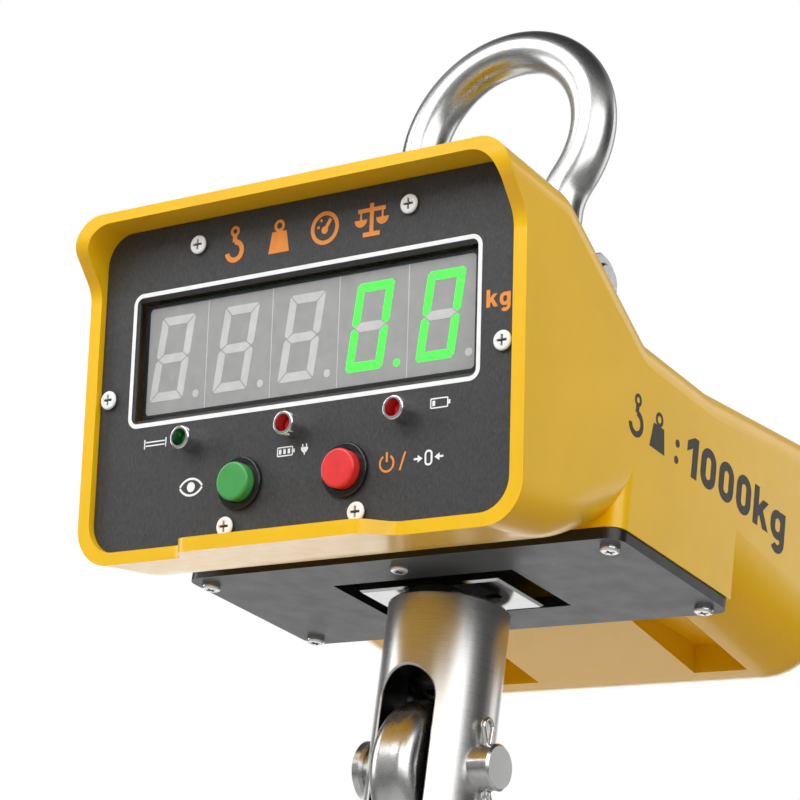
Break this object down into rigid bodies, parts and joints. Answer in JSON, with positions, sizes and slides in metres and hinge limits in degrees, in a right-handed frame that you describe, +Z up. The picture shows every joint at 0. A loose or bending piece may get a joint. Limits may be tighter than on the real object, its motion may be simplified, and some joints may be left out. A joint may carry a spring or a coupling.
{
  "type": "crane scale",
  "caption": "Hanging crane scale: bow shackle, sloped digital display in a cast housing with battery box, swivelling clevis and eye hook with safety latch.",
  "frame": {"origin": "suspension point: inner top of the shackle bow, where the crane hook carries the scale", "axes": "+Z up along the load line, +X to the right along the display, -Y towards the reader of the display"},
  "size_m": [0.1846, 0.2561, 0.4186],
  "materials": {
    "yellow_paint": "gloss yellow paint on cast aluminium",
    "bow_steel": "polished stainless",
    "clevis_steel": "turned and brushed stainless",
    "hook_steel": "satin forged steel",
    "cell_steel": "ground and nickel plated",
    "fastener_steel": "bright zinc",
    "plate_black": "satin black powder coat",
    "panel_black": "fine leather grain",
    "clear_window": "clear acrylic",
    "digit_grey": "matte grey",
    "circuit_green": "solder mask",
    "led_green": "tinted lens",
    "led_red": "tinted lens",
    "button_green": "gloss",
    "button_red": "gloss",
    "black_plastic": "gloss",
    "holder_chrome": "polished",
    "black_rubber": "matte",
    "battery_case": "matte",
    "tray_steel": "zinc plated",
    "white_nylon": "matte",
    "tab_brass": "plain",
    "latch_zinc": "zinc plated strip"
  },
  "bodies": {
    "shackle": {"shackle_bow": "bow_steel", "shackle_pin": "fastener_steel", "shackle_nut": "fastener_steel", "pin_spacers": "white_nylon"},
    "housing": {"main_housing": "yellow_paint", "load_cell": "cell_steel", "gauge_covers": "fastener_steel", "cell_brackets": "tray_steel", "bracket_screws": "fastener_steel", "neck_seal": "black_rubber", "swivel_bolt": "clevis_steel", "swivel_nut": "fastener_steel", "lower_race": "fastener_steel", "swivel_washer": "black_plastic", "bottom_plate": "plate_black", "bottom_plate_screws": "fastener_steel", "front_panel": "panel_black", "panel_screws": "fastener_steel", "display_window": "clear_window", "digit_modules": "digit_grey", "display_board": "circuit_green", "board_posts": "tab_brass", "main_board": "circuit_green", "power_module": "black_plastic", "led_holders": "holder_chrome", "stable_led": "led_green", "charge_led": "led_red", "low_battery_led": "led_red", "button_bezels": "black_plastic", "button_switches": "black_plastic", "key_board": "circuit_green", "battery_tray": "tray_steel", "battery": "battery_case", "battery_terminals": "tab_brass", "cover_gasket": "black_rubber", "battery_cover": "yellow_paint", "cover_screws": "fastener_steel", "charge_socket": "black_plastic", "charge_cap": "black_rubber"},
    "swivel": {"clevis": "clevis_steel", "upper_race": "fastener_steel", "bearing_balls": "fastener_steel", "hook_pin": "clevis_steel", "hook_pin_cotter": "fastener_steel"},
    "hook": {"hook_body": "hook_steel", "latch_pin": "fastener_steel", "latch_spring": "fastener_steel"},
    "latch": {"safety_latch": "latch_zinc"},
    "green_button": {"green_button": "button_green"},
    "red_button": {"red_button": "button_red"}
  },
  "joints": [
    {"name": "shackle_tilt", "type": "hinge", "parent": "shackle", "child": "housing", "pos_m": [0, 0, -0.095], "axis": [1, 0, 0], "range_deg": [-40, 40]},
    {"name": "swivel_turn", "type": "hinge", "parent": "housing", "child": "swivel", "pos_m": [0, 0, -0.2133], "axis": [0, 0, 1], "continuous": true},
    {"name": "hook_swing", "type": "hinge", "parent": "swivel", "child": "hook", "pos_m": [0, 0, -0.2712], "axis": [1, 0, 0], "range_deg": [-60, 60]},
    {"name": "latch_open", "type": "hinge", "parent": "hook", "child": "latch", "pos_m": [0, 0.0076, -0.307], "axis": [-1, 0, 0], "range_deg": [0, 50], "stiffness_Nm_per_rad": 0.05, "springref_deg": -17.19},
    {"name": "green_button_press", "type": "slide", "parent": "housing", "child": "green_button", "axis": [0, 0.9863, 0.165], "range_m": [0, 0.0018], "stiffness_N_per_m": 500, "springref_m": -0.001},
    {"name": "red_button_press", "type": "slide", "parent": "housing", "child": "red_button", "axis": [0, 0.9863, 0.165], "range_m": [0, 0.0018], "stiffness_N_per_m": 500, "springref_m": -0.001}
  ]
}
